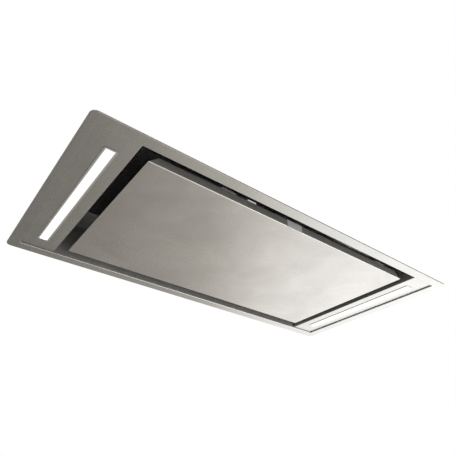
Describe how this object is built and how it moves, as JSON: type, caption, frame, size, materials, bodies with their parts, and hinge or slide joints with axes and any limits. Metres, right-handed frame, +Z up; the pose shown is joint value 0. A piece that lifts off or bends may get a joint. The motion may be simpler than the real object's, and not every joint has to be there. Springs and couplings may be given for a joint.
{
  "type": "ceiling range hood",
  "caption": "Flush ceiling range hood: trim frame with light strips at both ends and a drop-down suction panel, over a cabinet with filters, blower and top duct outlet.",
  "frame": {"origin": "middle of the trim frame's lower, visible face, the lowest plane of the part", "axes": "+Z up into the ceiling, +X along the long side, +Y across it towards the panel's hinge side"},
  "size_m": [1, 0.5, 0.363],
  "materials": {
    "brushed_steel": "grain along the short side",
    "opal_acrylic": "opal, lit from behind",
    "lamp_aluminium": "mill",
    "circuit_board": "solder mask",
    "foam": "closed-cell foam",
    "galvanised": "galvanised, matt",
    "spring_steel": "bright",
    "plated_fastener": "zinc plated",
    "motor_paint": "black stoved",
    "motor_iron": "laminated",
    "bearing_steel": "ground",
    "rubber": "moulded",
    "black_plastic": "moulded",
    "grey_plastic": "moulded",
    "capacitor_can": "plain"
  },
  "bodies": {
    "hood_body": {"cable_gland": "black_plastic", "capacitor_saddle": "galvanised", "catch_clips": "spring_steel", "ceiling_seal": "foam", "collar_screws": "plated_fastener", "control_board": "circuit_board", "control_box": "grey_plastic", "control_box_cover": "grey_plastic", "filter_deck": "galvanised", "filter_frame_left": "lamp_aluminium", "filter_frame_right": "lamp_aluminium", "filter_mesh_left": "lamp_aluminium", "filter_mesh_right": "lamp_aluminium", "flap_pin": "plated_fastener", "gland_lock_nut": "black_plastic", "hanger_brackets": "galvanised", "housing_lid": "galvanised", "housing_screws": "plated_fastener", "housing_shell": "galvanised", "lamp_board_left": "circuit_board", "lamp_board_right": "circuit_board", "lamp_channel_left": "lamp_aluminium", "lamp_channel_right": "lamp_aluminium", "lamp_driver": "grey_plastic", "lamp_lens_left": "opal_acrylic", "lamp_lens_right": "opal_acrylic", "lid_screws": "plated_fastener", "light_plate_left": "brushed_steel", "light_plate_right": "brushed_steel", "motor_bearings": "bearing_steel", "motor_bushes": "rubber", "motor_capacitor": "capacitor_can", "motor_end_cap": "motor_paint", "motor_shell": "motor_paint", "motor_spider": "galvanised", "motor_stator": "motor_iron", "outlet_collar": "black_plastic", "panel_hinge_brackets": "galvanised", "scroll_band": "galvanised", "scroll_side_left": "galvanised", "scroll_side_right": "galvanised", "spider_screws": "plated_fastener", "terminal_block": "grey_plastic", "trim_frame": "brushed_steel"},
    "suction_panel_door": {"suction_panel": "brushed_steel", "panel_liner": "lamp_aluminium", "panel_hinge_arms": "galvanised", "hinge_pins": "plated_fastener", "hinge_pin_clips": "plated_fastener", "panel_strikers": "spring_steel", "panel_bumper": "grey_plastic", "panel_grip_plate": "brushed_steel"},
    "blower_rotor": {"blower_wheel": "black_plastic", "motor_shaft": "plated_fastener", "wheel_nut": "plated_fastener", "motor_rotor": "motor_iron"},
    "near_flap": {"damper_flap_near": "black_plastic"},
    "far_flap": {"damper_flap_far": "black_plastic"},
    "left_latch": {"filter_latch_left": "black_plastic"},
    "right_latch": {"filter_latch_right": "black_plastic"}
  },
  "joints": [
    {"name": "panel_hinge", "type": "hinge", "parent": "hood_body", "child": "suction_panel_door", "pos_m": [0, 0.184, 0.03], "axis": [1, 0, 0], "range_deg": [0, 90]},
    {"name": "blower_spin", "type": "hinge", "parent": "hood_body", "child": "blower_rotor", "pos_m": [0, -0.06835, 0.2082], "axis": [1, 0, 0], "continuous": true},
    {"name": "near_flap_hinge", "type": "hinge", "parent": "hood_body", "child": "near_flap", "pos_m": [0, 0, 0.303], "axis": [-1, 0, 0], "range_deg": [0, 75]},
    {"name": "far_flap_hinge", "type": "hinge", "parent": "hood_body", "child": "far_flap", "pos_m": [0, 0, 0.303], "axis": [1, 0, 0], "range_deg": [0, 75]},
    {"name": "left_latch_slide", "type": "slide", "parent": "hood_body", "child": "left_latch", "axis": [0, 1, 0], "range_m": [0, 0.007], "stiffness_N_per_m": 600, "springref_m": -0.002},
    {"name": "right_latch_slide", "type": "slide", "parent": "hood_body", "child": "right_latch", "axis": [0, 1, 0], "range_m": [0, 0.007], "stiffness_N_per_m": 600, "springref_m": -0.002}
  ]
}
